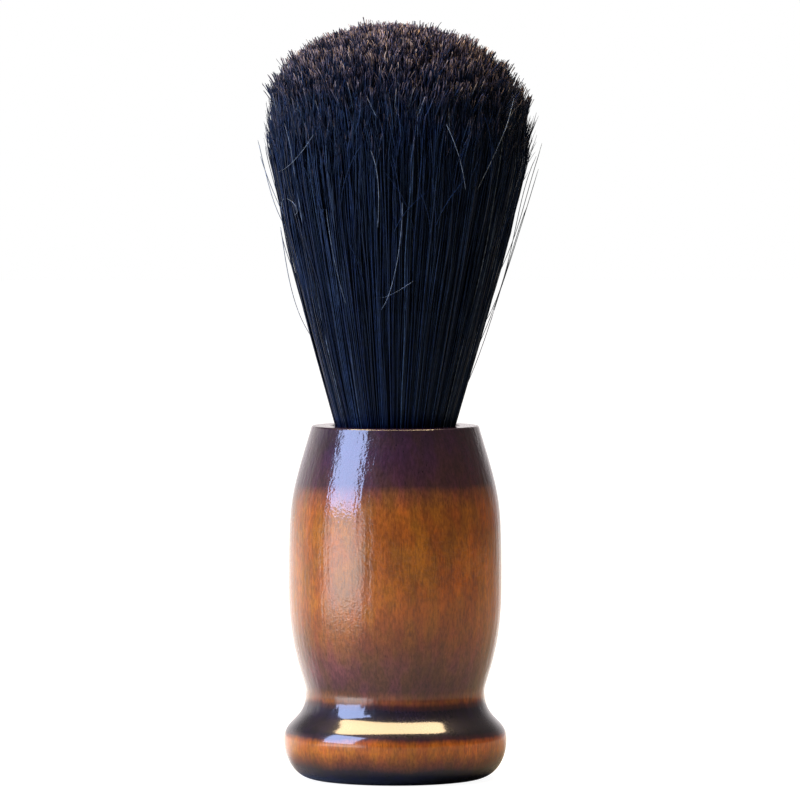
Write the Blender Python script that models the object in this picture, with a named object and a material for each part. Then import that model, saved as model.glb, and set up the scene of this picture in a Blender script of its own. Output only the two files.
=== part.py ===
"""Fade brush: a turned wooden handle and a bound knot of stiff black hair. Metres, +Z up.

The origin is the centre of the flat base, and +Z runs up the handle to the hair's tips.
The free hair is cut into two stages. Each sits with a ball in a cup, so the lower stage can
lean from side to side and the upper stage can lean from front to back, as the hair does when
it is swept over skin.
"""

import math

import bpy
import bmesh
import numpy as np
from mathutils import Matrix, Vector
from mathutils.geometry import interpolate_bezier

MM = 0.001
GAP = 0.3 * MM  # clearance left between pieces that touch on the real brush

# Handle: radius and height of each turned feature, from the rim down to the base
RIM_RADIUS = 13.1 * MM
RIM_HEIGHT = 55.1 * MM
RIM_EDGE = 0.4 * MM
BELLY_RADIUS = 16.6 * MM
BELLY_HEIGHT = 30.0 * MM
WAIST_RADIUS = 13.95 * MM
WAIST_HEIGHT = 13.7 * MM
FOOT_RADIUS = 17.4 * MM
FOOT_HEIGHT = 6.2 * MM
BASE_RADIUS = 12.2 * MM
SHOULDER_SLOPE = 0.30  # how fast the radius grows below the rim, per unit of height

# Socket bored into the top of the handle
SOCKET_RADIUS = 9.8 * MM
SOCKET_DEPTH = 22.0 * MM
SOCKET_CHAMFER = 0.35 * MM

# Knot: a resin plug, the bound hair root above it and the glue that beds them
GLUE_WALL = 0.4 * MM
GLUE_BED = 1.0 * MM
GLUE_HEIGHT = 9.0 * MM
PLUG_HEIGHT = 8.0 * MM
PLUG_CHAMFER = 0.6 * MM
BOUND_RADIUS = 8.0 * MM
CORD_DIAMETER = 0.9 * MM
CORD_PITCH = 1.15 * MM
CORD_TURNS = 4
CORD_POINTS_PER_TURN = 20

# Free hair: its outline from the mouth of the socket to the tips
MOUTH_RADIUS = 9.3 * MM
FLARE_SLOPE = 0.29
BLOOM_RADIUS = 20.7 * MM
BLOOM_HEIGHT = 103.0 * MM
TIP_HEIGHT = 118.7 * MM

# Flexing: the centre of each ball seat, and the height of each cup's rim
LOWER_PIVOT = 63.0 * MM
LOWER_CUP_RIM = 55.7 * MM
UPPER_PIVOT = 86.0 * MM
UPPER_CUP_RIM = 76.0 * MM
CUP_LAND = 0.35 * MM

HANDLE_SEGMENTS = 56
HAIR_SEGMENTS = 40
INNER_SEGMENTS = 32
SMOOTH_ANGLE = math.radians(35)


def clear_scene():
    for old in list(bpy.data.objects):
        bpy.data.objects.remove(old, do_unlink=True)


def linear(channel):
    value = channel / 255
    return value / 12.92 if value <= 0.04045 else ((value + 0.055) / 1.055) ** 2.4


def finish(name, rgb, roughness, metallic=0.0):
    """A Principled material from 8-bit sRGB values."""
    material = bpy.data.materials.new(name)
    material.use_nodes = True
    shader = material.node_tree.nodes["Principled BSDF"]
    shader.inputs["Base Color"].default_value = (*(linear(c) for c in rgb), 1.0)
    shader.inputs["Roughness"].default_value = roughness
    shader.inputs["Metallic"].default_value = metallic
    return material


def curve_run(start, start_pull, end, end_pull, steps):
    """Points (radius, height) on a cubic curve; each pull is the vector to that end's handle."""
    a, b = Vector(start), Vector(end)
    run = interpolate_bezier(a, a + Vector(start_pull), b + Vector(end_pull), b, steps + 1)
    return [(point.x, point.y) for point in run]


def arc_run(centre, radius, from_angle, to_angle, steps):
    """Points (radius, height) on a circle; angles are measured from straight down."""
    r0, z0 = centre
    angles = np.linspace(from_angle, to_angle, steps + 1)
    return [(r0 + radius * math.sin(a), z0 - radius * math.cos(a)) for a in angles]


def turned(name, outline, segments, material, origin=0.0):
    """A solid of revolution. The outline runs from the axis round to the axis again."""
    mesh = bpy.data.meshes.new(name)
    bm = bmesh.new()
    verts = [bm.verts.new((r, 0.0, z)) for r, z in outline]
    edges = [bm.edges.new(pair) for pair in zip(verts, verts[1:])]
    bmesh.ops.spin(
        bm,
        geom=verts + edges,
        cent=(0, 0, 0),
        axis=(0, 0, 1),
        angle=2 * math.pi,
        steps=segments,
    )
    bmesh.ops.remove_doubles(bm, verts=bm.verts, dist=1e-6)
    bmesh.ops.recalc_face_normals(bm, faces=bm.faces)
    bm.to_mesh(mesh)
    bm.free()
    mesh.transform(Matrix.Translation((0, 0, -origin)))
    mesh.materials.append(material)
    mesh.shade_smooth()
    mesh.set_sharp_from_angle(angle=SMOOTH_ANGLE)
    piece = bpy.data.objects.new(name, mesh)
    piece.location = (0, 0, origin)
    bpy.context.scene.collection.objects.link(piece)
    return piece


def hang_on(child, parent):
    """Parent a piece and keep it where it stands."""
    child.location = child.location - parent.location
    child.parent = parent


def handle_side():
    """The turned side of the handle, from the rim down to the edge of the flat base."""
    rim = (RIM_RADIUS, RIM_HEIGHT - RIM_EDGE)
    belly = (BELLY_RADIUS, BELLY_HEIGHT)
    waist = (WAIST_RADIUS, WAIST_HEIGHT)
    foot = (FOOT_RADIUS, FOOT_HEIGHT)
    base = (BASE_RADIUS, 0.0)
    shoulder = Vector((SHOULDER_SLOPE, -1.0)).normalized() * 11.4 * MM
    side = curve_run(rim, shoulder, belly, (0, 13.9 * MM), 10)
    side += curve_run(belly, (0, -10.2 * MM), waist, (0, 1.7 * MM), 9)[1:]
    side += curve_run(waist, (0, -4.7 * MM), foot, (0, 3.2 * MM), 10)[1:]
    side += curve_run(foot, (0, -3.0 * MM), base, (3.6 * MM, 0), 7)[1:]
    return side


def make_handle(wood):
    top = RIM_HEIGHT
    floor = top - SOCKET_DEPTH
    socket = [
        (0.0, floor),
        (SOCKET_RADIUS, floor),
        (SOCKET_RADIUS, top - SOCKET_CHAMFER),
        (SOCKET_RADIUS + SOCKET_CHAMFER, top),
    ]
    edge_centre = (RIM_RADIUS - RIM_EDGE, top - RIM_EDGE)
    rim_edge = arc_run(edge_centre, RIM_EDGE, math.pi, math.pi / 2, 3)
    outline = socket + rim_edge + handle_side()[1:] + [(0.0, 0.0)]
    return turned("handle", outline, HANDLE_SEGMENTS, wood)


def make_adhesive(glue):
    """The cup of set glue between the socket and the plug."""
    outer = SOCKET_RADIUS - GAP
    inner = outer - GLUE_WALL
    low = RIM_HEIGHT - SOCKET_DEPTH + GAP
    outline = [
        (0.0, low),
        (outer, low),
        (outer, low + GLUE_HEIGHT),
        (inner, low + GLUE_HEIGHT),
        (inner, low + GLUE_BED),
        (0.0, low + GLUE_BED),
    ]
    return turned("setting_adhesive", outline, INNER_SEGMENTS, glue)


def plug_span():
    """Radius, lower face and upper face of the plug, standing in the cup of glue."""
    radius = SOCKET_RADIUS - GAP - GLUE_WALL - GAP
    low = RIM_HEIGHT - SOCKET_DEPTH + GAP + GLUE_BED + GAP
    return radius, low, low + PLUG_HEIGHT


def make_plug(resin):
    radius, low, high = plug_span()
    outline = [
        (0.0, low),
        (radius - PLUG_CHAMFER, low),
        (radius, low + PLUG_CHAMFER),
        (radius, high),
        (0.0, high),
    ]
    return turned("knot_plug", outline, INNER_SEGMENTS, resin)


def hair_outline():
    """Heights and radii of the free hair, from the mouth to the widest part of the bloom."""
    flare = Vector((FLARE_SLOPE, 1.0)).normalized() * 21.0 * MM
    mouth = (MOUTH_RADIUS, RIM_HEIGHT)
    bloom = (BLOOM_RADIUS, BLOOM_HEIGHT)
    run = curve_run(mouth, flare, bloom, (0, -8.0 * MM), 60)
    return [z for _, z in run], [r for r, _ in run]


def hair_radius(height):
    heights, radii = hair_outline()
    return float(np.interp(height, heights, radii))


def cup_radius(pivot, rim):
    """Radius of the cup centred on a pivot whose rim leaves a narrow land inside the outline."""
    return math.hypot(hair_radius(rim) - CUP_LAND, pivot - rim)


def cup_run(pivot, rim):
    """The land and the hollow of a cup, from its outer edge down to the axis."""
    radius = cup_radius(pivot, rim)
    edge = math.acos((pivot - rim) / radius)
    hollow = arc_run((0.0, pivot), radius, edge, 0.0, 9)
    hollow[-1] = (0.0, pivot - radius)
    return [(hair_radius(rim), rim)] + hollow


def ball_run(pivot, rim):
    """The ball that sits in a cup, from the axis up to where it meets the hair's outline."""
    radius = cup_radius(pivot, rim) - GAP
    low, high = 0.0, math.pi / 2
    for _ in range(40):
        angle = (low + high) / 2
        inside = radius * math.sin(angle) < hair_radius(pivot - radius * math.cos(angle))
        low, high = (angle, high) if inside else (low, angle)
    ball = arc_run((0.0, pivot), radius, 0.0, low, 9)
    ball[0] = (0.0, pivot - radius)
    return ball


def side_run(low, high, steps):
    """Points on the hair's outline strictly above one height, up to and including another."""
    heights = np.linspace(low, high, steps + 1)[1:]
    return [(hair_radius(z), z) for z in heights]


def make_hair_root(hair):
    """The bound part of the hair, fixed in the socket, with the cup for the lower stage."""
    butt = plug_span()[2] + GAP
    bound_low = butt + 1.0 * MM
    bound_high = bound_low + CORD_PITCH * (CORD_TURNS + 1)
    outline = [(0.0, butt), (BOUND_RADIUS + 0.6 * MM, butt), (BOUND_RADIUS, bound_low)]
    outline += [(BOUND_RADIUS, bound_high), (MOUTH_RADIUS, RIM_HEIGHT - 1.0 * MM)]
    outline += cup_run(LOWER_PIVOT, LOWER_CUP_RIM)
    return turned("hair_root", outline, HAIR_SEGMENTS, hair)


def make_hair_lower(hair):
    ball = ball_run(LOWER_PIVOT, LOWER_CUP_RIM)
    side = side_run(ball[-1][1], UPPER_CUP_RIM, 8)
    outline = ball + side + cup_run(UPPER_PIVOT, UPPER_CUP_RIM)[1:]
    return turned("hair_lower", outline, HAIR_SEGMENTS, hair, LOWER_PIVOT)


def make_hair_upper(hair):
    ball = ball_run(UPPER_PIVOT, UPPER_CUP_RIM)
    side = side_run(ball[-1][1], BLOOM_HEIGHT, 9)
    angles = np.linspace(0, math.pi / 2, 12)[1:]
    rise = TIP_HEIGHT - BLOOM_HEIGHT
    dome = [(BLOOM_RADIUS * math.cos(a), BLOOM_HEIGHT + rise * math.sin(a)) for a in angles]
    dome[-1] = (0.0, TIP_HEIGHT)
    return turned("hair_upper", ball + side + dome, HAIR_SEGMENTS, hair, UPPER_PIVOT)


def make_binding_cord(thread):
    """Waxed thread wound round the hair root just above the plug."""
    curve = bpy.data.curves.new("binding_cord", "CURVE")
    curve.dimensions = "3D"
    curve.bevel_depth = CORD_DIAMETER / 2
    curve.bevel_resolution = 2
    curve.use_fill_caps = True
    spline = curve.splines.new("POLY")
    count = CORD_TURNS * CORD_POINTS_PER_TURN
    spline.points.add(count)
    start = plug_span()[2] + GAP + 1.0 * MM + CORD_PITCH / 2
    radius = BOUND_RADIUS + GAP + CORD_DIAMETER / 2
    for i, point in enumerate(spline.points):
        turns = i / CORD_POINTS_PER_TURN
        angle = 2 * math.pi * turns
        height = start + CORD_PITCH * turns
        point.co = (radius * math.cos(angle), radius * math.sin(angle), height, 1.0)
    curve.materials.append(thread)
    cord = bpy.data.objects.new("binding_cord", curve)
    bpy.context.scene.collection.objects.link(cord)
    return cord


def main():
    clear_scene()
    hair = finish("black_hair", (24, 25, 36), 0.5)
    handle = make_handle(finish("stained_lacquered_wood", (128, 74, 46), 0.2))
    inside = [
        make_adhesive(finish("set_glue", (214, 190, 140), 0.35)),
        make_plug(finish("cast_resin", (60, 48, 40), 0.5)),
        make_binding_cord(finish("waxed_thread", (196, 180, 150), 0.7)),
        make_hair_root(hair.copy()),
    ]
    lower = make_hair_lower(hair)
    upper = make_hair_upper(hair.copy())
    hang_on(upper, lower)
    for piece in inside + [lower]:
        hang_on(piece, handle)


main()
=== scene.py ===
# %% [markdown]
# # A barber's fade brush
# A fade brush sweeps cut hair off the neck. It is a knot of stiff horsehair, bound with thread,
# cast in a plug and glued into a handle that was turned from one piece of hardwood. This lesson
# builds its looks round a fixed frame: the frame holds every size and both joints, and the
# cells below add the turned and lacquered handle and several thousand separate hairs.

# %% Load the fixed frame
import math

import bpy
import numpy as np
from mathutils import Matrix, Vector
from mathutils.geometry import interpolate_bezier


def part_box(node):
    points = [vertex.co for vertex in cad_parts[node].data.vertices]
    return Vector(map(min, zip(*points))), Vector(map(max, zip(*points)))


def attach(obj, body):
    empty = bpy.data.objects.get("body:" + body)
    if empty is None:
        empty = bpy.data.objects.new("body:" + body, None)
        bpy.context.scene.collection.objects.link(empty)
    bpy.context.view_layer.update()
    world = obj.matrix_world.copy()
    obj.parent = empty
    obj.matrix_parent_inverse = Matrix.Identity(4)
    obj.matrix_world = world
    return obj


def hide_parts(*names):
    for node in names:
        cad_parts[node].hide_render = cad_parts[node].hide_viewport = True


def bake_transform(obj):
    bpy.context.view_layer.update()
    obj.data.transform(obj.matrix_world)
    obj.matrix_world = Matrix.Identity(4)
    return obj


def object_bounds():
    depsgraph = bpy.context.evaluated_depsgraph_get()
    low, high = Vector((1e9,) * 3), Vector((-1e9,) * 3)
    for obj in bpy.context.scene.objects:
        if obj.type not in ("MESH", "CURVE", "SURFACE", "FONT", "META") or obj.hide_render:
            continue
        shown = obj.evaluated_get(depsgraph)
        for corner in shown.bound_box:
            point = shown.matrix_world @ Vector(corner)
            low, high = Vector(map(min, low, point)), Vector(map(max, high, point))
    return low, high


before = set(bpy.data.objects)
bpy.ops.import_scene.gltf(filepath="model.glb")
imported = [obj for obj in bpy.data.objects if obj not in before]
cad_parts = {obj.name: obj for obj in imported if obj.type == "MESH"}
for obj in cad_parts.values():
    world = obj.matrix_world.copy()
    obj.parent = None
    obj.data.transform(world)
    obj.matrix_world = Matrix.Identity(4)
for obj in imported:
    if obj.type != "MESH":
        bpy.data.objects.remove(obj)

MM = 0.001
cad_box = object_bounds()
low, high = cad_box
print("frame nodes:", ", ".join(sorted(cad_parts)))
print("frame size in mm:", [round(side / MM, 1) for side in high - low])

# %% [markdown]
# ## Two helpers for materials
# Paint makers and screens give colours as sRGB hex values, but a renderer adds up light in
# linear numbers, so one function turns the first into the second. A second function adds one
# shader node. Its inputs are given in order or by name, each as a plain value, a socket to link
# or a node, which stands for that node's first output. A colour ramp takes its stops as well.

# %% Colour and node helpers
SMOOTH = {"interpolation_type": "SMOOTHSTEP"}  # a Map Range node that eases in and out


def colour(hex_value):
    channels = [int(hex_value[i : i + 2], 16) / 255 for i in (1, 3, 5)]
    linear = [c / 12.92 if c <= 0.04045 else ((c + 0.055) / 1.055) ** 2.4 for c in channels]
    return (*linear, 1.0)


def add_node(tree, kind, inputs=(), stops=(), **settings):
    made = tree.nodes.new(kind)
    for name, value in settings.items():
        setattr(made, name, value)
    named = inputs if isinstance(inputs, dict) else dict(enumerate(inputs))
    for name, value in named.items():
        if isinstance(value, bpy.types.Node):
            value = value.outputs[0]
        if isinstance(value, bpy.types.NodeSocket):
            tree.links.new(value, made.inputs[name])
        else:
            made.inputs[name].default_value = value
    for i, (position, hex_value) in enumerate(stops):
        ramp = made.color_ramp.elements
        stop = ramp[i] if i < 2 else ramp.new(position)  # a new ramp has two stops already
        stop.position = position
        stop.color = colour(hex_value)
    return made


def new_material(name):
    made = bpy.data.materials.new(name)
    made.use_nodes = True
    tree = made.node_tree
    return made, tree, tree.nodes["Principled BSDF"]


print("mid grey in linear light:", round(colour("#808080")[0], 3))

# %% [markdown]
# ## The camera
# A product picture taken from about a metre away with a long lens keeps the sides of a small
# object nearly parallel. The camera stands level with the widest part of the hair and looks
# slightly down, so the rim of the handle is seen almost edge on and the foot a little from above.

# %% Camera
CAMERA_DISTANCE = 1.07
CAMERA_HEIGHT = 105.3 * MM
VIEW_CENTRE = Vector((0.73 * MM, 0.0, 59.05 * MM))
VIEW_WIDTH = 124.6 * MM  # how much of the brush's plane the frame takes in

camera_data = bpy.data.cameras.new("camera")
camera_data.sensor_width = 36
camera_data.clip_start = 0.01
camera = bpy.data.objects.new("camera", camera_data)
bpy.context.scene.collection.objects.link(camera)
camera.location = (VIEW_CENTRE.x, -CAMERA_DISTANCE, CAMERA_HEIGHT)
sight = VIEW_CENTRE - camera.location
camera.rotation_euler = sight.to_track_quat("-Z", "Y").to_euler()
camera_data.lens = camera_data.sensor_width * sight.length / VIEW_WIDTH
bpy.context.scene.camera = camera
bpy.context.scene.view_settings.view_transform = "Standard"
print("lens in mm:", round(camera_data.lens))

# %% [markdown]
# ## Floor and light
# Lacquer shows what is round it, so the light is planned as a room. A window to the left
# is cool and gives the blue-white streak down the shoulder of the handle, and the pool of light
# it throws on the table carries the streak on below. A wide warm lamp overhead gives the cream
# spot on the foot and warms the tips of the hair. The room and the table are bright behind the
# brush and dim in front of it, which leaves a pale line of reflection down both sides of the
# handle and keeps its middle clear. The camera itself sees plain white all round.

# %% Floor, room and lamps
FLOOR_SIZE = 6.0
FLOOR_LIFT = 0.95  # how much brighter the table looks than its bounced light is
POOL_SIDE = (-0.84, -0.54, 0.0)  # where the window's light falls, seen from the brush
POOL_EDGE = (0.84, 0.99)  # how nearly a direction must point there, from 1 straight at it
POOL_START = (0.04, 0.3)  # metres from the brush over which the pool grows to its full light
POOL_LIGHT = 4.0
BRIGHT_SIDE = (-0.35, 0.94, 0.0)
TABLE_EDGE = (0.35, 0.95)
ROOM_EDGE = (0.3, 0.95)
BACK_LIGHT = 0.95
ROOM_LIGHT = 0.13
WHITE = "#ffffff"


def area_lamp(name, shape, place, aim, width, height, tint, watts):
    data = bpy.data.lights.new(name, "AREA")
    data.shape = shape
    data.size = width
    data.size_y = height
    data.color = colour(tint)[:3]
    data.energy = watts
    lamp = bpy.data.objects.new(name, data)
    lamp.location = place
    lamp.rotation_euler = (Vector(aim) - Vector(place)).to_track_quat("-Z", "Y").to_euler()
    lamp.visible_camera = False
    bpy.context.scene.collection.objects.link(lamp)
    return lamp


def glow_towards(tree, way, side, edge, strength):
    """Light from one side: it grows as a direction comes to point nearly straight there."""
    nearly = add_node(tree, "ShaderNodeVectorMath", (way, side), operation="DOT_PRODUCT")
    limits = (nearly.outputs["Value"], *edge, 0.0, strength)
    return add_node(tree, "ShaderNodeMapRange", limits, **SMOOTH)


def table_glow(tree):
    """Strength of the light that the table throws on the brush, by direction from the brush."""
    place = add_node(tree, "ShaderNodeTexCoord").outputs["Object"]
    way = add_node(tree, "ShaderNodeVectorMath", (place,), operation="NORMALIZE")
    away = add_node(tree, "ShaderNodeVectorMath", (place,), operation="LENGTH").outputs["Value"]
    clear = add_node(tree, "ShaderNodeMapRange", (away, *POOL_START, 0.0, 1.0), **SMOOTH)
    pool = glow_towards(tree, way, POOL_SIDE, POOL_EDGE, POOL_LIGHT)
    pool_there = add_node(tree, "ShaderNodeMath", (pool, clear), operation="MULTIPLY")
    back = glow_towards(tree, way, BRIGHT_SIDE, TABLE_EDGE, BACK_LIGHT)
    return add_node(tree, "ShaderNodeMath", (pool_there, back), operation="ADD")


def make_floor():
    bpy.ops.object.select_all(action="DESELECT")
    bpy.ops.mesh.primitive_plane_add(size=FLOOR_SIZE, location=(0, 0, 0))
    floor = bpy.context.object
    floor.name = "floor"
    table, tree, shader = new_material("matt white table top")
    shader.inputs["Base Color"].default_value = colour("#727274")
    shader.inputs["Roughness"].default_value = 0.9
    shader.inputs["Emission Color"].default_value = colour(WHITE)
    seen = add_node(tree, "ShaderNodeLightPath").outputs["Is Camera Ray"]
    shown = add_node(tree, "ShaderNodeMath", (seen, FLOOR_LIFT), operation="MULTIPLY")
    unseen = add_node(tree, "ShaderNodeMath", (1.0, seen), operation="SUBTRACT")
    parts = (unseen, table_glow(tree), shown)
    lift = add_node(tree, "ShaderNodeMath", parts, operation="MULTIPLY_ADD")
    tree.links.new(lift.outputs[0], shader.inputs["Emission Strength"])
    floor.data.materials.append(table)
    return floor


def make_room():
    room = bpy.data.worlds.new("room")
    bpy.context.scene.world = room
    room.use_nodes = True
    tree = room.node_tree
    tree.nodes.clear()
    way = add_node(tree, "ShaderNodeTexCoord").outputs["Generated"]
    up = add_node(tree, "ShaderNodeSeparateXYZ", {0: way}).outputs["Z"]
    back = glow_towards(tree, way, BRIGHT_SIDE, ROOM_EDGE, 1.0)
    low_down = add_node(tree, "ShaderNodeMapRange", (up, 0.15, 0.5, BACK_LIGHT, 0.0), **SMOOTH)
    sill = glow_towards(tree, way, POOL_SIDE, POOL_EDGE, 1.0)
    lowest = add_node(tree, "ShaderNodeMapRange", (up, 0.0, 0.3, POOL_LIGHT, 0.0), **SMOOTH)
    under_window = add_node(tree, "ShaderNodeMath", (sill, lowest), operation="MULTIPLY")
    all_round = add_node(tree, "ShaderNodeMath", (under_window, ROOM_LIGHT), operation="ADD")
    parts = (back, low_down, all_round)
    glow = add_node(tree, "ShaderNodeMath", parts, operation="MULTIPLY_ADD")
    lit = add_node(tree, "ShaderNodeBackground", (colour("#fbf3f4"), glow))
    seen = add_node(tree, "ShaderNodeBackground", (colour(WHITE), 1.0))
    camera_ray = add_node(tree, "ShaderNodeLightPath").outputs["Is Camera Ray"]
    both = add_node(tree, "ShaderNodeMixShader", (camera_ray, lit, seen))
    add_node(tree, "ShaderNodeOutputWorld", (both,))


make_floor()
make_room()
area_lamp(
    "window",
    "RECTANGLE",
    place=(-1.07, -0.56, 0.7),
    aim=(0, 0, 0.05),
    width=0.9,
    height=0.98,
    tint="#b4c8ff",
    watts=34.0,
)
area_lamp(
    "overhead lamp",
    "ELLIPSE",
    place=(-0.12, 0.0, 1.05),
    aim=(-0.12, 0.0, 0),
    width=1.5,
    height=0.68,
    tint="#ffdfae",
    watts=45.0,
)
print("lamps:", ", ".join(lamp.name for lamp in bpy.data.lights))

# %% [markdown]
# ## The handle
# The real handle is cut on a lathe: the wood spins and the gouge follows one outline. Blender's
# Spin does the same, so only the outline is drawn. It starts on the axis at the floor of the
# socket, climbs the socket wall, crosses the top face and runs down the outside through belly,
# waist and foot bead to the flat base. Stacking cylinders would leave corners at each join,
# and the real profile has none between the rim and the heel.

# %% Sizes of the handle, worked out from the frame
handle_low, handle_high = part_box("handle")
RIM_HEIGHT = handle_high[2]
RIM_RADIUS = 13.1 * MM
RIM_EDGE = 0.4 * MM
BELLY = (16.6 * MM, 30.0 * MM)
WAIST = (13.95 * MM, 13.7 * MM)
FOOT = (handle_high[0], 6.2 * MM)
BASE = (12.2 * MM, 0.0)
SOCKET_RADIUS = 9.8 * MM
SOCKET_DEPTH = 22.0 * MM
SOCKET_CHAMFER = 0.35 * MM
TOP_FACE = (10.6 * MM, 12.3 * MM)  # the first and last of the rings that carry the top face
LATHE_STEPS = 168
print("handle height in mm:", round(RIM_HEIGHT / MM, 2), "foot radius:", round(FOOT[0] / MM, 2))


def curve_run(start, start_pull, end, end_pull, steps):
    """Points on a cubic curve, each pull being the vector to that end's control point."""
    a, b = Vector((*start, 0)), Vector((*end, 0))
    pull_a, pull_b = Vector((*start_pull, 0)), Vector((*end_pull, 0))
    return [(p.x, p.y) for p in interpolate_bezier(a, a + pull_a, b + pull_b, b, steps + 1)]


def arc_run(centre, radius, start, end, steps):
    """Points on a circle in the outline's plane, at angles measured up from the radius."""
    angles = np.linspace(start, end, steps + 1)
    return [(centre[0] + radius * math.cos(a), centre[1] + radius * math.sin(a)) for a in angles]


def handle_outline():
    """Socket, top face, rim, then shoulder, belly, cove and heel, and in across the base."""
    top = RIM_HEIGHT
    floor = top - SOCKET_DEPTH
    outline = [(0.0, floor), (SOCKET_RADIUS, floor), (SOCKET_RADIUS, top - SOCKET_CHAMFER)]
    outline += [(SOCKET_RADIUS + SOCKET_CHAMFER, top)]
    outline += [(r, top) for r in np.linspace(*TOP_FACE, 4)]
    edge = (RIM_RADIUS - RIM_EDGE, top - RIM_EDGE)
    outline += arc_run(edge, RIM_EDGE, math.pi / 2, 0.0, 6)
    rim = (RIM_RADIUS, top - RIM_EDGE)
    outline += curve_run(rim, (3.28 * MM, -10.92 * MM), BELLY, (0, 13.9 * MM), 26)[1:]
    outline += curve_run(BELLY, (0, -10.2 * MM), WAIST, (0, 1.7 * MM), 24)[1:]
    outline += curve_run(WAIST, (0, -4.7 * MM), FOOT, (0, 3.2 * MM), 30)[1:]
    outline += curve_run(FOOT, (0, -3.0 * MM), BASE, (3.6 * MM, 0), 20)[1:]
    outline += [(r, 0.0) for r in (9.0 * MM, 5.0 * MM, 0.0)]
    return outline


# %% Draw the outline point by point, then spin it
def draw_outline(name, outline):
    """One vertex extruded along the outline, as it is drawn by hand. Leaves edit mode on."""
    bpy.ops.object.select_all(action="DESELECT")
    bpy.ops.mesh.primitive_plane_add(size=MM, location=(0, 0, 0))
    piece = bpy.context.object
    piece.name = name
    bpy.ops.object.mode_set(mode="EDIT")
    bpy.ops.mesh.select_all(action="SELECT")
    bpy.ops.mesh.merge(type="CENTER")
    bpy.ops.transform.translate(value=(outline[0][0], 0, outline[0][1]))
    for at, point in zip(outline, outline[1:]):
        step = (point[0] - at[0], 0, point[1] - at[1])
        bpy.ops.mesh.extrude_region_move(TRANSFORM_OT_translate={"value": step})
    return piece


def spin_outline(piece, steps):
    """Turn the drawn outline into a closed solid with its faces pointing out."""
    bpy.ops.mesh.select_all(action="SELECT")
    bpy.ops.mesh.spin(steps=steps, angle=2 * math.pi, center=(0, 0, 0), axis=(0, 0, 1))
    bpy.ops.mesh.select_all(action="SELECT")
    bpy.ops.mesh.remove_doubles(threshold=1e-6)
    bpy.ops.mesh.normals_make_consistent(inside=False)
    bpy.ops.object.mode_set(mode="OBJECT")
    bpy.ops.object.select_all(action="DESELECT")
    piece.select_set(True)
    bpy.context.view_layer.objects.active = piece
    bpy.ops.object.shade_smooth_by_angle(angle=math.radians(32))
    return piece


turned_handle = spin_outline(draw_outline("turned_handle", handle_outline()), LATHE_STEPS)
print("turned handle faces:", len(turned_handle.data.polygons))

# %% [markdown]
# ## Stained and lacquered hardwood
# The blank is a pale, close-grained wood such as beech. Brown-violet stain is sprayed on at the
# top, the waist and the heel while it spins, so the bands are soft-edged and level, and the bare
# middle takes only an amber wash. A thick clear lacquer goes over all. What the eye gets is a dull
# wood colour with short vertical flecks, under a hard, clear skin with slow ripples in it.
# The bands follow height, the growth rings follow distance from the tree's centre, which lies
# outside the handle, and the flecks and pores are noise that is stretched along the grain.

# %% Sizes of the wood's patterns
# Sizes of the patterns are in millimetres, as (across the grain, along the grain).
BEECH_RING = 2.4  # mm between growth rings
TREE_CENTRE = (38.0, 26.0, 0.0)  # mm from the handle's axis
FLECK = (0.35, 1.1)
PORE = (0.16, 2.8)  # drawn about twice as wide as real pores so that they show
CLOUD = (4.0, 8.0)  # patches where the wood took more or less stain
HUE_PATCH = (2.2, 5.0)  # patches where the stain turned redder or more golden
STAIN_DRIFT = (9.0, 12.0)  # how a band's edge wanders round the handle
DRIFT_REACH = 0.22  # mm up or down
STAIN_CREEP = (0.5, 3.0)  # how the edge creeps along single fibres
CREEP_REACH = 0.07  # mm up or down
RIPPLE = (1.2, 1.2)  # slow ripples in the lacquer
PEEL = (0.36, 0.36)  # the small pits of sprayed lacquer
GRAIN_RIPPLE = (0.9, 9.0)  # the grain's own ripples, which show through the lacquer
LACQUER_RELIEF = 0.03 * MM
print("growth rings across the belly:", round(2 * BELLY[0] / MM / BEECH_RING))


# %% Stain in bands
def stain_bands(tree, height_mm):
    """The stain's colour at each height of the handle, in millimetres from the base."""
    top_mm = RIM_HEIGHT / MM
    bands = [
        (0.0, "#0c1424"),
        (2.3, "#141220"),
        (3.6, "#703a18"),
        (5.2, "#a45c0e"),
        (6.6, "#9c540e"),
        (7.5, "#2c1418"),
        (8.2, "#0e0812"),
        (11.6, "#120818"),
        (12.3, "#3c1e18"),
        (12.9, "#74401c"),
        (13.6, "#6c3c20"),
        (14.8, "#56302c"),
        (18.5, "#643a2c"),
        (22.5, "#7c421a"),
        (27.0, "#8a4c0a"),
        (37.0, "#844a04"),
        (42.5, "#7c4608"),
        (45.2, "#5a3218"),
        (46.4, "#32181c"),
        (51.0, "#281020"),
        (top_mm, "#220e1c"),
    ]
    share = add_node(tree, "ShaderNodeMath", (height_mm, top_mm), operation="DIVIDE")
    stops = [(z / top_mm, hex_value) for z, hex_value in bands]
    return add_node(tree, "ShaderNodeValToRGB", (share,), stops)


# %% Grain of the wood
def grain(tree, mm, size, detail, roughness=0.5):
    """A pattern that is as wide and as long, up the handle, as size says."""
    across, along = size
    shrunk = (mm, (1 / across, 1 / across, 1 / along))
    stretched = add_node(tree, "ShaderNodeVectorMath", shrunk, operation="MULTIPLY")
    return add_node(
        tree,
        "ShaderNodeTexNoise",
        {"Vector": stretched, "Scale": 1.0, "Detail": detail, "Roughness": roughness},
    )


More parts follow.
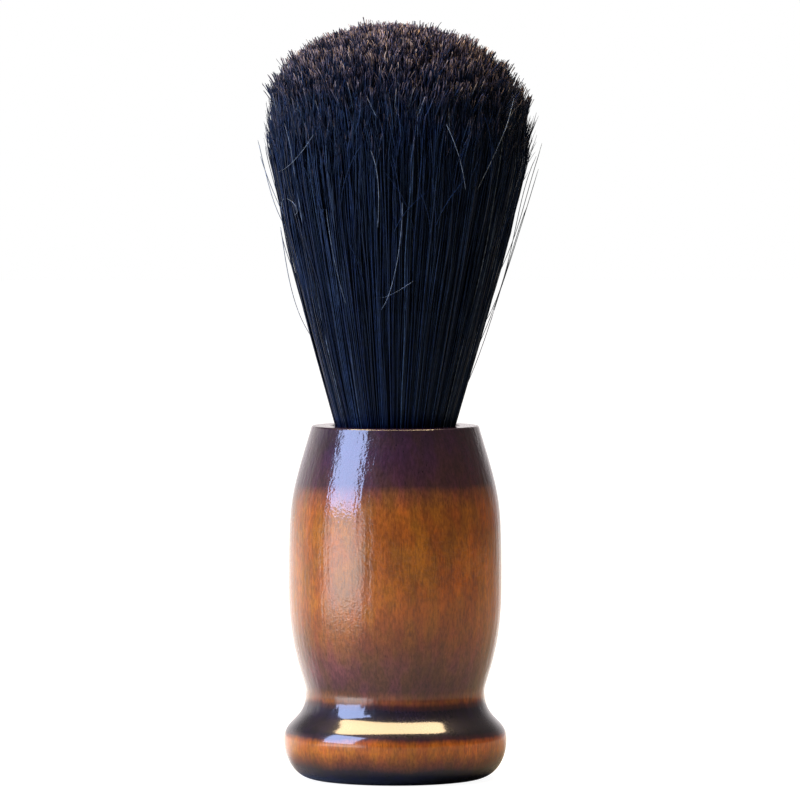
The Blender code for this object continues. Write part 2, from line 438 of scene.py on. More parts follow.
def growth_rings(tree, mm, drift):
    """Waves from -1 to 1 at the tree's rings, which aren't quite round."""
    offset = (mm, TREE_CENTRE)
    from_centre = add_node(tree, "ShaderNodeVectorMath", offset, operation="SUBTRACT")
    level = (from_centre, (1.0, 1.0, 0.02))
    flat = add_node(tree, "ShaderNodeVectorMath", level, operation="MULTIPLY")
    distance = add_node(tree, "ShaderNodeVectorMath", (flat,), operation="LENGTH").outputs["Value"]
    warp = add_node(tree, "ShaderNodeMapRange", (drift, 0.2, 0.8, -1.2, 1.2), **SMOOTH)
    warped = add_node(tree, "ShaderNodeMath", (distance, warp), operation="ADD")
    per_ring = (warped, 2 * math.pi / BEECH_RING)
    turns = add_node(tree, "ShaderNodeMath", per_ring, operation="MULTIPLY")
    return add_node(tree, "ShaderNodeMath", (turns,), operation="SINE")


def wood_shade(tree, mm, drift, flecks):
    """How much lighter or darker than its stain the wood is at each place."""
    sideways, _, height = add_node(tree, "ShaderNodeSeparateXYZ", (mm,)).outputs
    rings = growth_rings(tree, mm, drift)
    pores = grain(tree, mm, PORE, 1.0)
    clouds = grain(tree, mm, CLOUD, 3.0)
    ranges = (
        (rings, -1.0, 1.0, 0.92, 1.06),
        (flecks, 0.32, 0.68, 0.74, 1.28),
        (pores, 0.62, 0.72, 1.0, 0.62),
        (clouds, 0.3, 0.7, 0.8, 1.18),
    )
    shade = 1.0
    for limits in ranges:
        each = add_node(tree, "ShaderNodeMapRange", limits, **SMOOTH)
        shade = add_node(tree, "ShaderNodeMath", (shade, each), operation="MULTIPLY")
    # Paler on the right, from the belly's widest part down.
    on_right = add_node(tree, "ShaderNodeMapRange", (sideways, 2.0, 12.0, 0.0, 0.35), **SMOOTH)
    low_down = add_node(tree, "ShaderNodeMapRange", (height, 32.0, 40.0, 1.0, 0.0), **SMOOTH)
    paler = add_node(tree, "ShaderNodeMath", (on_right, low_down), operation="MULTIPLY")
    return add_node(tree, "ShaderNodeMath", (shade, paler, shade), operation="MULTIPLY_ADD")


# %% Colour and lacquer
def stained_colour(tree, mm, flecks):
    """The stain in bands whose soft edges wander a little, shaded by the wood below it."""
    height = add_node(tree, "ShaderNodeSeparateXYZ", (mm,)).outputs["Z"]
    drift = grain(tree, mm, STAIN_DRIFT, 2.0)
    creep = grain(tree, mm, STAIN_CREEP, 2.0)
    for noise, reach in ((drift, DRIFT_REACH), (creep, CREEP_REACH)):
        limits = (noise, 0.3, 0.7, -reach, reach)
        moved = add_node(tree, "ShaderNodeMapRange", limits, **SMOOTH)
        height = add_node(tree, "ShaderNodeMath", (height, moved), operation="ADD")
    stain = stain_bands(tree, height)
    shade = wood_shade(tree, mm, drift, flecks)
    shaded = {0: stain, "Scale": shade}
    toned = add_node(tree, "ShaderNodeVectorMath", shaded, operation="SCALE")
    patches = grain(tree, mm, HUE_PATCH, 2.0)
    green = add_node(tree, "ShaderNodeMapRange", (patches, 0.35, 0.65, 0.84, 1.08), **SMOOTH)
    blue = add_node(tree, "ShaderNodeMapRange", (patches, 0.35, 0.65, 1.3, 0.8), **SMOOTH)
    hue = add_node(tree, "ShaderNodeCombineXYZ", (1.0, green, blue))
    return add_node(tree, "ShaderNodeVectorMath", (toned, hue), operation="MULTIPLY")


def lacquer_skin(tree, mm):
    """Ripples and pits. The lacquer lies flattest on the foot, where it ran down and set."""
    height = add_node(tree, "ShaderNodeSeparateXYZ", (mm,)).outputs["Z"]
    sprayed = (grain(tree, mm, PEEL, 1.0), grain(tree, mm, RIPPLE, 1.0))
    uneven = add_node(tree, "ShaderNodeMath", sprayed, operation="ADD")
    evenness = add_node(tree, "ShaderNodeMapRange", (height, 11.0, 20.0, 0.05, 1.0), **SMOOTH)
    skin_relief = add_node(tree, "ShaderNodeMath", (uneven, evenness), operation="MULTIPLY")
    below = grain(tree, mm, GRAIN_RIPPLE, 1.0)
    depth = add_node(tree, "ShaderNodeMapRange", (height, 10.2, 11.6, 0.1, 2.0), **SMOOTH)
    parts = (below, depth, skin_relief)
    relief = add_node(tree, "ShaderNodeMath", parts, operation="MULTIPLY_ADD")
    raised = {"Height": relief, "Strength": 1.0, "Distance": LACQUER_RELIEF}
    return add_node(tree, "ShaderNodeBump", raised)


# %% Wood material
def wood_material():
    wood, tree, shader = new_material("lacquered beech with sprayed stain")
    place = add_node(tree, "ShaderNodeTexCoord").outputs["Object"]
    in_mm = {0: place, "Scale": 1 / MM}
    mm = add_node(tree, "ShaderNodeVectorMath", in_mm, operation="SCALE")
    flecks = grain(tree, mm, FLECK, 3.0, 0.65)
    dull = add_node(tree, "ShaderNodeMapRange", (flecks, 0.3, 0.7, 0.36, 0.5), **SMOOTH)
    skin = lacquer_skin(tree, mm)
    links = (
        (stained_colour(tree, mm, flecks), "Base Color"),
        (dull, "Roughness"),
        (skin, "Normal"),
        (skin, "Coat Normal"),
    )
    for node, name in links:
        tree.links.new(node.outputs[0], shader.inputs[name])
    shader.inputs["IOR"].default_value = 1.5
    shader.inputs["Specular IOR Level"].default_value = 0.15
    shader.inputs["Coat Weight"].default_value = 1.0
    shader.inputs["Coat Roughness"].default_value = 0.11
    shader.inputs["Coat IOR"].default_value = 1.6
    return wood


turned_handle.data.materials.append(wood_material())
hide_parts("handle")
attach(turned_handle, "handle")
print("handle stands from", [round(c / MM, 1) for c in handle_low], "mm")

# %% [markdown]
# ## The shape of the knot
# A knot is pressed tight in its plug and fans out above it, and the barber's supplier trims the
# fan to a dome. Every hair keeps its own share of the radius all the way up, so one outline
# and two numbers place a hair: how far out it sits, from 0 to 1, and its angle.

# %% Outline of the knot
root_low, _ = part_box("hair_root")
_, upper_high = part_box("hair_upper")
BUTT_HEIGHT = root_low[2]
BLOOM_RADIUS = upper_high[0]
BLOOM_HEIGHT = 103.0 * MM
TIP_HEIGHT = upper_high[2]
LOWEST_TRIM = 92.0 * MM
MOUTH_RADIUS = 9.3 * MM
BOUND_RADIUS = 8.0 * MM
BOUND_SPAN = (44.3 * MM, 50.1 * MM)
FAN_RADIUS = 20.0 * MM
FAN_HEIGHT = 97.0 * MM
FAN_SLOPE = 0.15  # the fan keeps opening at this rate to the tips
SIDE_LEAN = 0.9 * MM  # how far the bloom has been pushed over to the right
TRIM_TILT = 1.1 * MM  # how much higher the dome was left on the left than on the right
TRIM_EASE = 1.2 * MM  # how far the trimmed surface lies below the highest tips


def knot_outline():
    """Heights and radii of the fan: bound root, mouth, flare, and on past the trimmed dome."""
    mouth = (MOUTH_RADIUS, RIM_HEIGHT)
    fan = (FAN_RADIUS, FAN_HEIGHT)
    run = curve_run(mouth, (5.85 * MM, 20.17 * MM), fan, (-2.2 * MM, -11 * MM), 50)
    below = [(8.5 * MM, BUTT_HEIGHT), (BOUND_RADIUS, BOUND_SPAN[0]), (BOUND_RADIUS, BOUND_SPAN[1])]
    beyond = TIP_HEIGHT + 5 * MM
    points = below + run + [(FAN_RADIUS + FAN_SLOPE * (beyond - FAN_HEIGHT), beyond)]
    return np.array([z for _, z in points]), np.array([r for r, _ in points])


OUTLINE_HEIGHTS, OUTLINE_RADII = knot_outline()


def knot_radius(height):
    return np.interp(height, OUTLINE_HEIGHTS, OUTLINE_RADII)


def trim_table():
    """For shares of the radius from 0 to 1, the height at which the shears cut that hair."""
    heights = np.linspace(LOWEST_TRIM, TIP_HEIGHT, 400)
    rise = np.clip((heights - BLOOM_HEIGHT) / (TIP_HEIGHT - BLOOM_HEIGHT), 0, 1)
    allowed = BLOOM_RADIUS * np.sqrt(1 - rise**2)
    shares = np.linspace(0, 1, 101)
    cut = [heights[np.argmax(share * knot_radius(heights) >= allowed)] for share in shares]
    return shares, np.array(cut)


TRIM_SHARES, TRIM_HEIGHTS = trim_table()


def dome_height(share):
    """Where the shears cut, at a share of the knot's radius."""
    return np.interp(share, TRIM_SHARES, TRIM_HEIGHTS)


def lean(height):
    """Sideways set of the hair, which grows with its height above the mouth."""
    free = np.clip((height - RIM_HEIGHT) / (TIP_HEIGHT - RIM_HEIGHT), 0, 1)
    return SIDE_LEAN * free**1.3


knot_radii = [round(radius / MM, 1) for radius in (MOUTH_RADIUS, BLOOM_RADIUS)]
print("radius of the knot at its mouth and at its bloom, in mm:", knot_radii)

# %% [markdown]
# ## One hair
# A horsehair is round and tapers near its tip, and there are far too many for each to have many
# faces. One is modelled by hand: a three-sided tube of unit size, cut into short lengths and drawn
# in at its tip. Smooth shading makes three sides look round at this width. The copies are made
# in code, because a knot needs thousands and each follows its own curve: every copy keeps the
# tube's rings and faces and moves each ring to its place on that curve.

# %% Model one hair
def model_hair(rings, tip):
    """A unit hair along Z with that many rings; its last ring is narrowed to tip."""
    bpy.ops.object.select_all(action="DESELECT")
    bpy.ops.mesh.primitive_cylinder_add(
        vertices=3, radius=1.0, depth=1.0, end_fill_type="NGON", location=(0, 0, 0.5)
    )
    hair = bpy.context.object
    bpy.ops.object.transform_apply(location=True)
    mesh = hair.data
    bpy.ops.object.mode_set(mode="EDIT")
    bpy.ops.mesh.select_mode(type="EDGE")
    bpy.ops.mesh.select_all(action="DESELECT")
    bpy.ops.object.mode_set(mode="OBJECT")
    for edge in mesh.edges:
        foot, head = (mesh.vertices[i].co.z for i in edge.vertices)
        edge.select = foot != head
    bpy.ops.object.mode_set(mode="EDIT")
    bpy.ops.mesh.subdivide(number_cuts=rings - 2)
    bpy.ops.mesh.select_mode(type="VERT")
    bpy.ops.mesh.select_all(action="DESELECT")
    bpy.ops.object.mode_set(mode="OBJECT")
    for vertex in mesh.vertices:
        vertex.select = vertex.co.z > 0.999
    bpy.ops.object.mode_set(mode="EDIT")
    bpy.ops.transform.resize(value=(tip, tip, 1))
    bpy.ops.object.mode_set(mode="OBJECT")
    return hair


def hair_parts(rings, tip):
    """The unit hair's vertices, its faces and each face corner's place on a flat strip."""
    hair = model_hair(rings, tip)
    verts = np.array([v.co for v in hair.data.vertices])
    faces = [tuple(p.vertices) for p in hair.data.polygons]
    side = np.round(np.arctan2(verts[:, 1], verts[:, 0]) / (2 * math.pi / 3)).astype(int) % 3
    strip = []
    for face in faces:
        sides = [side[i] for i in face]
        across_seam = len(face) == 4 and {0, 2} <= set(sides)
        for i in face:
            column = 3 if across_seam and side[i] == 0 else side[i]
            strip.append((column / 3, verts[i][2]))
    bpy.data.objects.remove(hair)
    return verts, faces, np.array(strip)


sample_verts, sample_faces, _ = hair_parts(5, 0.3)
print("a hair of 5 rings:", len(sample_verts), "vertices,", len(sample_faces), "faces")

# %% [markdown]
# ## Combing copies of that hair into a tuft
# The comb function takes the centre of every ring of every hair and gives one mesh. Two numbers
# are kept on the points for the colour to read: how far a point is from its hair's tip, and a
# tone of its own for each hair, from 0 for the darkest to 1 for the palest. Each hair also has
# a small cell of the UV map to itself, so its colours can be written to an image without
# running into its neighbours'.

# %% Comb function
CELL_MARGIN = 0.12  # of a cell's width, left clear round each hair


def sharpen_ends(mesh, hair_verts, ring, rings):
    """Keep the small end faces from bending the shading of the sides."""
    ends = np.zeros(2 * len(mesh.edges), np.int32)
    mesh.edges.foreach_get("vertices", ends)
    level = ring[ends.reshape(-1, 2) % hair_verts]
    flat = (level[:, 0] == level[:, 1]) & np.isin(level[:, 0], (0, rings - 1))
    sharp = mesh.attributes.new("sharp_edge", "BOOLEAN", "EDGE")
    sharp.data.foreach_set("value", flat)


def comb(name, centres, thickness, to_tip, tone, turn, tip):
    """One mesh of hairs. centres is hairs x rings x 3; thickness and to_tip are hairs x rings."""
    count, rings, _ = centres.shape
    verts, faces, strip = hair_parts(rings, tip)
    ring = np.round(verts[:, 2] * (rings - 1)).astype(int)
    cos, sin = np.cos(turn)[:, None], np.sin(turn)[:, None]
    wide = thickness[:, ring]
    points = centres[:, ring, :].copy()
    points[..., 0] += wide * (verts[:, 0] * cos - verts[:, 1] * sin)
    points[..., 1] += wide * (verts[:, 0] * sin + verts[:, 1] * cos)
    all_faces = []
    for start in range(0, count * len(verts), len(verts)):
        all_faces += [tuple(start + i for i in face) for face in faces]
    mesh = bpy.data.meshes.new(name)
    mesh.from_pydata(points.reshape(-1, 3), [], all_faces)
    for label, values in (("to_tip", to_tip[:, ring]), ("tone", np.repeat(tone, len(verts)))):
        kept = mesh.attributes.new(label, "FLOAT", "POINT")
        kept.data.foreach_set("value", np.ravel(values).astype(np.float32))
    cells = math.ceil(math.sqrt(count))
    column, row = np.arange(count) % cells, np.arange(count) // cells
    cell = np.stack([column, row], axis=1)[:, None, :]
    places = (cell + CELL_MARGIN + (1 - 2 * CELL_MARGIN) * strip[None]) / cells
    layer = mesh.uv_layers.new(name="OFBake")
    layer.data.foreach_set("uv", np.ravel(places).astype(np.float32))
    mesh.shade_smooth()
    sharpen_ends(mesh, len(verts), ring, rings)
    piece = bpy.data.objects.new(name, mesh)
    bpy.context.scene.collection.objects.link(piece)
    return piece


print("share of its cell that a hair fills:", 1 - 2 * CELL_MARGIN)

# %% [markdown]
# ## Where the hairs run
# Hairs gather into small locks of three or four, because they are slightly oily, and each lock's
# tips draw together. So locks are placed first, spread evenly over the knot's round section,
# and each hair starts a little to one side of its lock and closes in on it near the tip. A slow
# wave along each hair keeps the sides from looking combed with a ruler. The outer hairs are
# modelled from plug to tip. Deeper ones are hidden until they reach the dome, so only their last
# stretch is made, over a dark inner form.

# %% Locks and hairs
HAIR_RADIUS = 0.095 * MM
TAPER_LENGTH = 1.6 * MM
TIP_SHARE = 0.6  # a trimmed hair's width at its end, as a share of its full width
LOCK_CLOSING = 6.0 * MM  # length over which a lock's tips draw together
SPLAY_LENGTH = 5.0 * MM  # length over which a lock turns aside from its neighbours
LOCK_SCATTER = 0.4 * MM  # how unevenly the shears cut one lock and the next
TIP_SCATTER = 0.3 * MM  # and the hairs of one lock
LOCK_WAVE = 0.36 * MM  # sway that a lock's hairs share
HAIR_WAVE = 0.2 * MM  # sway of each hair's own
WAVE_LENGTHS = (18 * MM, 44 * MM)
SLANT = 0.015  # radians that a hair usually turns round the knot on its way up
MOST_SLANT = 0.14


def lay_locks(draw, locks, hairs_each, inner, outer, lock_spread, splay):
    """Start values for every hair of a ring of locks between two shares of the radius."""
    share = np.sqrt(draw.uniform(inner**2, outer**2, locks))
    angle = draw.uniform(0, 2 * math.pi, locks)
    centre = np.stack([share * np.cos(angle), share * np.sin(angle)], axis=1)
    level_cut = dome_height(share) - TRIM_TILT * centre[:, 0] - TRIM_EASE
    cut = level_cut + draw.normal(0, LOCK_SCATTER, locks)
    lock = np.repeat(np.arange(locks), hairs_each)
    count = len(lock)

    def shared_and_own(lock_size, own_size):
        shared = draw.normal(0, lock_size, (locks, 2))[lock]
        return shared + draw.normal(0, own_size, (count, 2))

    return {
        "centre": centre[lock],
        "aside": draw.normal(0, lock_spread, (count, 2)),
        "outer": outer,
        "closing": draw.uniform(0.5, 0.95, count),
        "tip": cut[lock] - np.abs(draw.normal(0, TIP_SCATTER, count)),
        "wave": shared_and_own(LOCK_WAVE, HAIR_WAVE),
        "phase": shared_and_own(3.0, 0.5),
        "length": draw.uniform(*WAVE_LENGTHS, (locks, 2))[lock],
        "slant": SLANT * draw.normal(0, 1, count) ** 3,
        "splay": shared_and_own(splay, 0.5 * splay),
        "tone": 0.6 * draw.uniform(0, 1, locks)[lock] + 0.4 * draw.uniform(0, 1, count),
        "turn": draw.uniform(0, 2 * math.pi, count),
        "width": draw.uniform(0.8, 1.25, count),
    }


def run_of(hairs, heights):
    """Centre of each hair at the given heights, hairs x rings."""
    to_tip = hairs["tip"][:, None] - heights
    closing = hairs["closing"][:, None] * np.clip(1 - to_tip / LOCK_CLOSING, 0, 1) ** 1.5
    flat = hairs["centre"][:, None, :] + hairs["aside"][:, None, :] * (1 - closing[..., None])
    share = np.linalg.norm(flat, axis=2, keepdims=True)
    flat = flat * np.minimum(1, hairs["outer"] / np.maximum(share, 1e-9))
    free = np.clip((heights - RIM_HEIGHT) / (TIP_HEIGHT - RIM_HEIGHT), 0, 1)
    turned = np.clip(hairs["slant"], -MOST_SLANT, MOST_SLANT)[:, None] * free
    across = flat[..., 0] * np.cos(turned) - flat[..., 1] * np.sin(turned)
    depth = flat[..., 0] * np.sin(turned) + flat[..., 1] * np.cos(turned)
    place = np.stack([across, depth], axis=2) * knot_radius(heights)[..., None]
    along = 2 * math.pi * heights[..., None] / hairs["length"][:, None, :]
    sway = np.sin(along + hairs["phase"][:, None, :])
    splay = np.clip(1 - to_tip / SPLAY_LENGTH, 0, 1)[..., None] ** 2
    place = place + hairs["wave"][:, None, :] * free[..., None] * sway
    place = place + hairs["splay"][:, None, :] * splay
    return np.stack([place[..., 0] + lean(heights), place[..., 1], heights], axis=2), to_tip


def tuft(name, hairs, heights, tip, radius=HAIR_RADIUS):
    """One mesh of those hairs; the last ring is narrowed to tip, on top of each hair's taper."""
    centres, to_tip = run_of(hairs, heights)
    taper = TIP_SHARE + (1 - TIP_SHARE) * np.clip(to_tip / TAPER_LENGTH, 0, 1)
    thickness = radius * hairs["width"][:, None] * taper
    return comb(name, centres, thickness, to_tip / MM, hairs["tone"], hairs["turn"], tip)


print("width of a hair in mm:", round(2 * HAIR_RADIUS / MM, 2))

# %% [markdown]
# ## The hair's colour
# Horsehair is almost black. The blue cast of its shafts is painted, for the cool light of the
# window, and so is the blue tint of its shine. It pales to brown at its worn tips, and these are
# painted paler still towards the top of the dome, where the lamp overhead lights them. A few
# hairs in a hundred are lighter all the way. The surface is smooth enough to shine in streaks,
# so roughness is moderate and the round hairs do the rest.

# %% Hair material
SPECKLE = 0.8 * MM  # size of the dusty and worn patches along a hair
WORN_TIP = (0.2, 1.6)  # mm from the tip over which the wear fades out
TOP_LIGHT_HEIGHTS = (105 * MM, 119 * MM)  # heights over which the tips pale further, as painted light from the lamp overhead
SHAFT_TONES = (  # for a hair's tone, from the darkest hairs to the palest; the blue in them is painted light
    (0.0, "#00020c"),
    (0.5, "#040a20"),
    (0.8, "#0c1830"),
    (0.9, "#1e2c3e"),
    (1.0, "#606a74"),
)
TIP_TONES = (
    (0.0, "#0c0e18"),
    (0.3, "#22222c"),
    (0.55, "#62565c"),
    (0.75, "#a69084"),
    (1.0, "#e2c6a4"),
)


def hair_material():
    hair, tree, shader = new_material("black horsehair with worn brown tips")
    to_tip = add_node(tree, "ShaderNodeAttribute", attribute_name="to_tip").outputs["Fac"]
    tone = add_node(tree, "ShaderNodeAttribute", attribute_name="tone").outputs["Fac"]
    shafts = add_node(tree, "ShaderNodeValToRGB", (tone,), SHAFT_TONES)
    tips = add_node(tree, "ShaderNodeValToRGB", (tone,), TIP_TONES)
    place = add_node(tree, "ShaderNodeTexCoord").outputs["Object"]
    height = add_node(tree, "ShaderNodeSeparateXYZ", (place,)).outputs["Z"]
    near_tip = add_node(tree, "ShaderNodeMapRange", (to_tip, *WORN_TIP, 1.0, 0.0), **SMOOTH)
    # Painted light: the tips pale further towards the top of the dome, where the lamp overhead lights
    # them; only the fade near each tip is wear.
    painted_top_light = add_node(tree, "ShaderNodeMapRange", (height, *TOP_LIGHT_HEIGHTS, 0.15, 1.0), **SMOOTH)
    worn = add_node(tree, "ShaderNodeMath", (near_tip, painted_top_light), operation="MULTIPLY")
    looks = {"Factor": worn, 6: shafts, 7: tips}
    mixed = add_node(tree, "ShaderNodeMix", looks, data_type="RGBA").outputs[2]
    dusty = {"Vector": place, "Scale": 1 / SPECKLE, "Detail": 2.0}
    speckle = add_node(tree, "ShaderNodeTexNoise", dusty)
    scuffed = add_node(tree, "ShaderNodeMapRange", (speckle, 0.38, 0.62, 0.6, 1.4), **SMOOTH)
    shaded = {0: mixed, "Scale": scuffed}
    toned = add_node(tree, "ShaderNodeVectorMath", shaded, operation="SCALE")
    tree.links.new(toned.outputs[0], shader.inputs["Base Color"])
    shader.inputs["Roughness"].default_value = 0.34
    shader.inputs["IOR"].default_value = 1.55
    shader.inputs["Specular IOR Level"].default_value = 0.3
    # A painted blue tint on the shine, for the cool light of the window.
    shader.inputs["Specular Tint"].default_value = colour("#98c4ff")
    return hair


horsehair = hair_material()
print("hair material:", horsehair.name)

# %% [markdown]
# ## The outer hairs
# These are cut at one level into a lower and an upper half. Both halves end on the same ring at
# that level, and the cut never shows.

# %% Outer hairs, lower and upper half
OUTER_RINGS = 9  # in each half
SHORTFALL = 2.2 * MM  # by how much, on average, an outer hair misses the trimmed surface
LOWEST_TIP = 88.0 * MM
STAGE_CUT = 73.0 * MM


def level_run(start, end, rings):
    """Heights of the rings of each hair, from a start to an end that may differ by hair."""
    return start + (end - start) * np.linspace(0, 1, rings)


outer_draw = np.random.default_rng(11)
outer_hairs = lay_locks(
    outer_draw, 990, 4, inner=0.88, outer=1.0, lock_spread=0.014, splay=0.45 * MM
)
outer_count = len(outer_hairs["tip"])
short = outer_draw.exponential(SHORTFALL, outer_count)
outer_hairs["tip"] = np.maximum(outer_hairs["tip"] - short, LOWEST_TIP)
lower_levels = level_run(np.full((outer_count, 1), BUTT_HEIGHT), STAGE_CUT, OUTER_RINGS)
upper_levels = level_run(STAGE_CUT, outer_hairs["tip"][:, None], OUTER_RINGS)
outer_lower = tuft("outer_hair_lower", outer_hairs, lower_levels, 1.0)
outer_upper = tuft("outer_hair_upper", outer_hairs, upper_levels, 0.35)
print("outer hairs:", outer_count)

# %% [markdown]
# ## The crown
# The dome is the part that touches skin. Every hair ends there, so the crown is a dense
# field of tips at slightly different heights. It is made in two parts, a middle and an edge,
# so that neither has too many faces.

# %% Crown hairs
CROWN_DEPTH = 13.0 * MM
CROWN_RINGS = 5
CROWN_HAIR_RADIUS = 0.13 * MM  # thicker than the sides, as two or three hairs cling together
crown_draw = np.random.default_rng(23)


def crown_tuft(name, locks, inner, outer):
    hairs = lay_locks(crown_draw, locks, 3, inner, outer, lock_spread=0.012, splay=0.8 * MM)
    tips = hairs["tip"][:, None]
    levels = level_run(tips - CROWN_DEPTH, tips, CROWN_RINGS)
    return tuft(name, hairs, levels, 0.8, CROWN_HAIR_RADIUS)


crown_middle = crown_tuft("crown_hair_middle", 1500, inner=0.0, outer=0.55)
crown_edge = crown_tuft("crown_hair_edge", 2500, inner=0.55, outer=0.92)
crown_vertices = len(crown_middle.data.vertices) + len(crown_edge.data.vertices)
print("crown hairs:", crown_vertices // (3 * CROWN_RINGS))

# %% [markdown]
# ## Stray hairs
# A used knot always has some hairs that have slipped out of line. The ones that stand clear of
# the sides show most, so those are placed one by one, each through a few points given as an
# angle round the brush from its front, a height, and a distance out from the knot's surface.
# A random sprinkling of fainter ones goes all the way round.

# %% Stray hairs
STRAY_RADIUS = 0.065 * MM
STRAY_RINGS = 14
NO_TIP_NEAR = 9.0  # mm to the tip, so that a stray keeps the colour of a shaft to its end
PLACED_STRAYS = (  # degrees from the front, mm from the base, mm out from the knot
    ((88, 66, -0.3), (90, 74, 0.8), (91, 83, 1.4), (92, 95, 2.2)),
    ((84, 60, -0.3), (88, 69, 0.7), (90, 80, 1.1), (90, 89, 1.7)),
    ((80, 76, -0.5), (86, 84, 0.9), (90, 91, 1.3), (93, 99, 2.0)),
    ((95, 70, -0.5), (92, 78, 1.0), (88, 88, 0.7), (88, 97, 1.4)),
    ((-84, 85, -0.5), (-88, 90, 0.8), (-90, 95, 1.2), (-92, 99.5, 1.6)),
    ((-88, 68, -0.5), (-90, 73, 1.0), (-90, 79, 1.1), (-91, 86, 0.6)),
    ((-80, 87, -0.4), (-86, 92, 0.7), (-90, 97, 1.5)),
    ((-35, 89, 0.8), (-33, 81, 1.2), (-30, 74.5, 0.9)),
    ((2, 90, 0.5), (1, 83, 0.9), (-3, 77, 0.8), (-9, 73.6, 0.5)),
    ((56, 106, 0.5), (49, 100, 0.5), (40, 92, 0.0)),
    ((-70, 94.6, 0.6), (-52, 96, 1.1), (-38, 100.5, 0.7)),
    ((-72, 89, 0.6), (-60, 90.5, 1.0), (-54, 89, 0.9), (-62, 88, 0.6)),
    ((20, 102, 0.4), (27, 97, 0.4), (33, 92, 0.0)),
    ((-12, 98, 0.3), (-9, 93, 0.4), (-10, 86, 0.0)),
    ((9, 78, 0.5), (-4, 75.8, 0.7), (-13, 75.4, 0.4)),
)


def random_strays(draw, count):
    """Strays round the whole knot, each leaving the surface at its foot and ending clear of it."""
    strays = []
    for _ in range(count):
        angle, foot = draw.uniform(-180, 180), draw.uniform(76, 90)
        rise, drift, clear = draw.uniform(7, 15), draw.normal(0, 9), draw.uniform(0.3, 1.3)
        middle = (angle + 0.3 * drift, foot + 0.5 * rise, 0.6 * clear)
        strays.append(((angle, foot, -0.4), middle, (angle + drift, foot + rise, clear)))
    return strays


def stray_run(points, share):
    """A smooth curve through a stray's points, at shares of the way from 0 to 1."""
    points = np.array(points, float)
    at = np.linspace(0, 1, len(points))
    angle, height, clear = (
        np.polyval(np.polyfit(at, points[:, i], len(points) - 1), share) for i in range(3)
    )
    height = height * MM
    radius = np.minimum(knot_radius(height), BLOOM_RADIUS) + clear * MM
    around = np.radians(angle - 90)
    x = radius * np.cos(around) + lean(height)
    return np.stack([x, radius * np.sin(around), height], axis=1)


def cut_strays(strays):
    """Each stray's curve below and above the cut between the two stages."""
    below, above = [], []
    for points in strays:
        share = np.linspace(0, 1, 400)
        heights = stray_run(points, share)[:, 2]
        crossing = share[np.argmax(heights > STAGE_CUT)] if heights[0] < STAGE_CUT else 0.0
        if crossing > 0:
            below.append(stray_run(points, np.linspace(0, crossing, STRAY_RINGS)))
        above.append(stray_run(points, np.linspace(crossing, 1, STRAY_RINGS)))
    return np.array(below), np.array(above)


def comb_strays(name, centres, placed, draw):
    """Strays as one tuft; the first few, which were placed one by one, are the palest."""
    count = len(centres)
    tone = draw.uniform(0.6, 0.9, count)
    tone[:placed] = draw.uniform(0.95, 1.0, placed)
    to_tip = np.full((count, STRAY_RINGS), NO_TIP_NEAR)
    thickness = np.full((count, STRAY_RINGS), STRAY_RADIUS)
    return comb(name, centres, thickness, to_tip, tone, np.zeros(count), 0.5)


stray_draw = np.random.default_rng(5)
strays_below, strays_above = cut_strays(list(PLACED_STRAYS) + random_strays(stray_draw, 40))
stray_lower = comb_strays("stray_hair_lower", strays_below, len(strays_below), stray_draw)
stray_upper = comb_strays("stray_hair_upper", strays_above, len(PLACED_STRAYS), stray_draw)
print("strays:", len(strays_above), "of them starting below the cut:", len(strays_below))

# %% [markdown]
# ## Inside the knot
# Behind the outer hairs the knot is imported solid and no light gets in. A plain dark form, spun from
# the knot's own outline at a smaller size, stands for those hairs. Fine dark streaks in its
# material are enough, because nothing but its darkness is ever seen between the hairs.

# %% Inner form, lower and upper half
INNER_SHARE = 0.85  # of the knot's radius
INNER_DEPTH = 8.0 * MM  # below the trimmed dome
INNER_STREAKS = (4000.0, 4000.0, 60.0)  # per metre, across, across and along the hair


def inner_lower_outline():
    heights = [BUTT_HEIGHT, *BOUND_SPAN, RIM_HEIGHT]
    heights += list(np.linspace(RIM_HEIGHT, STAGE_CUT, 8))[1:]
    side = [(INNER_SHARE * float(knot_radius(z)), z) for z in heights]
    return [(0.0, BUTT_HEIGHT), *side, (0.0, STAGE_CUT)]


def inner_upper_outline():
    top = dome_height(INNER_SHARE) - INNER_DEPTH
    side = [(INNER_SHARE * float(knot_radius(z)), z) for z in np.linspace(STAGE_CUT, top, 12)]
    shares = INNER_SHARE * np.cos(np.linspace(0, math.pi / 2, 14))[1:-1]
    tops = [float(dome_height(s)) - INNER_DEPTH for s in shares]
    dome = [(s * float(knot_radius(z)), z) for s, z in zip(shares, tops)]
    return [(0.0, STAGE_CUT), *side, *dome, (0.0, TIP_HEIGHT - INNER_DEPTH)]


def inner_form(name, outline):
    form = spin_outline(draw_outline(name, outline), 72)
    for vertex in form.data.vertices:
        vertex.co.x += float(lean(vertex.co.z))
    return form


def inner_material():
    packed, tree, shader = new_material("packed horsehair in shadow")
    place = add_node(tree, "ShaderNodeTexCoord").outputs["Object"]
    drawn_out = (place, INNER_STREAKS)
    fibres = add_node(tree, "ShaderNodeVectorMath", drawn_out, operation="MULTIPLY")
    streak = add_node(tree, "ShaderNodeTexNoise", {"Vector": fibres, "Scale": 1.0})
    dark = add_node(tree, "ShaderNodeValToRGB", (streak,), ((0.3, "#05060a"), (0.7, "#12141c")))
    tree.links.new(dark.outputs["Color"], shader.inputs["Base Color"])
    shader.inputs["Roughness"].default_value = 0.7
    return packed


packed_hair = inner_material()
inner_lower = inner_form("inner_hair_lower", inner_lower_outline())
inner_upper = inner_form("inner_hair_upper", inner_upper_outline())
print("inner form faces:", len(inner_lower.data.polygons) + len(inner_upper.data.polygons))

# %% [markdown]
# ## Materials of the knot
# Each tuft and inner form gets its material, the frame's own hair pieces are hidden, and each
# piece's placing is applied to its mesh.

# %% Materials of the knot
lower_tufts = [outer_lower, stray_lower]
upper_tufts = [outer_upper, stray_upper, crown_middle, crown_edge]

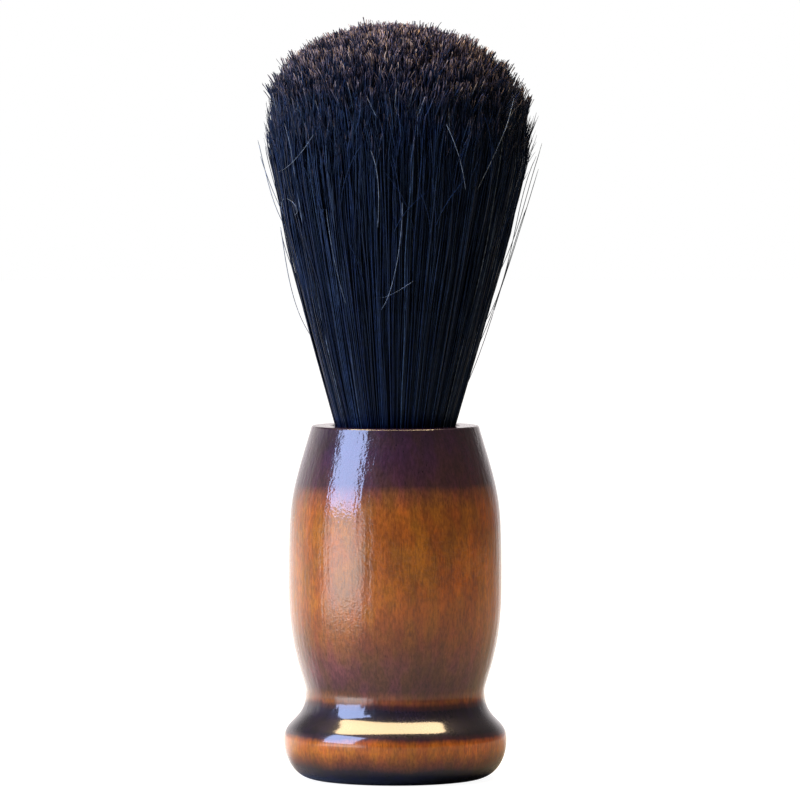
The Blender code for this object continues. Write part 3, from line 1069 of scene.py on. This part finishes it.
for piece in lower_tufts + upper_tufts:
    piece.data.materials.append(horsehair)
for piece in (inner_lower, inner_upper):
    piece.data.materials.append(packed_hair)
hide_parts("hair_root", "hair_lower")
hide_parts("hair_upper")
for piece in lower_tufts + [inner_lower]:
    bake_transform(piece)
for piece in upper_tufts + [inner_upper]:
    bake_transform(piece)
print("hair faces:", sum(len(p.data.polygons) for p in lower_tufts + upper_tufts))

# %% [markdown]
# ## Inside the socket
# Three pieces of the frame stay as they are, because the handle and the hair hide them: the resin
# plug that the hair is cast in, the adhesive under it and the cord wound round the hair's foot.
# Each gets the look of its own stuff, for a view with the handle taken away.

# %% Materials of the hidden pieces
PLY_BANDS = 700.0  # which repeats the two plies about every 0.9 mm of cord


def mottled(name, scale, dark, light, roughness, bump):
    """A cast stuff, in two tones with soft patches and an uneven surface."""
    made, tree, shader = new_material(name)
    place = add_node(tree, "ShaderNodeTexCoord").outputs["Object"]
    soft = {"Vector": place, "Scale": 1 / scale, "Detail": 3.0}
    patches = add_node(tree, "ShaderNodeTexNoise", soft)
    tones = add_node(tree, "ShaderNodeValToRGB", (patches,), ((0.35, dark), (0.65, light)))
    tree.links.new(tones.outputs["Color"], shader.inputs["Base Color"])
    uneven = add_node(tree, "ShaderNodeBump", {"Height": patches, "Distance": bump})
    tree.links.new(uneven.outputs["Normal"], shader.inputs["Normal"])
    shader.inputs["Roughness"].default_value = roughness
    return made


def thread_material():
    """Two plies twisted round the cord, drawn as slanted bands."""
    made, tree, shader = new_material("waxed linen thread")
    place = add_node(tree, "ShaderNodeTexCoord").outputs["Object"]
    slanted = {"Vector": place, "Scale": PLY_BANDS, "Distortion": 1.5}
    plies = add_node(tree, "ShaderNodeTexWave", slanted, bands_direction="DIAGONAL")
    stops = ((0.2, "#8a7450"), (0.8, "#d8c8a0"))
    tones = add_node(tree, "ShaderNodeValToRGB", (plies.outputs["Fac"],), stops)
    tree.links.new(tones.outputs["Color"], shader.inputs["Base Color"])
    raised = {"Height": plies.outputs["Fac"], "Distance": 0.06 * MM}
    twist = add_node(tree, "ShaderNodeBump", raised)
    tree.links.new(twist.outputs["Normal"], shader.inputs["Normal"])
    shader.inputs["Roughness"].default_value = 0.75
    return made


resin = mottled("cast epoxy resin", 1.5 * MM, "#3a2a16", "#5c4424", 0.3, 0.02 * MM)
glue = mottled("set epoxy adhesive", 1.0 * MM, "#a89a78", "#d2c8a8", 0.4, 0.05 * MM)
hidden_looks = {
    "knot_plug": resin,
    "setting_adhesive": glue,
    "binding_cord": thread_material(),
}
for node, look in hidden_looks.items():
    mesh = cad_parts[node].data
    mesh.materials.clear()
    mesh.materials.append(look)
print("hidden pieces dressed:", ", ".join(hidden_looks))
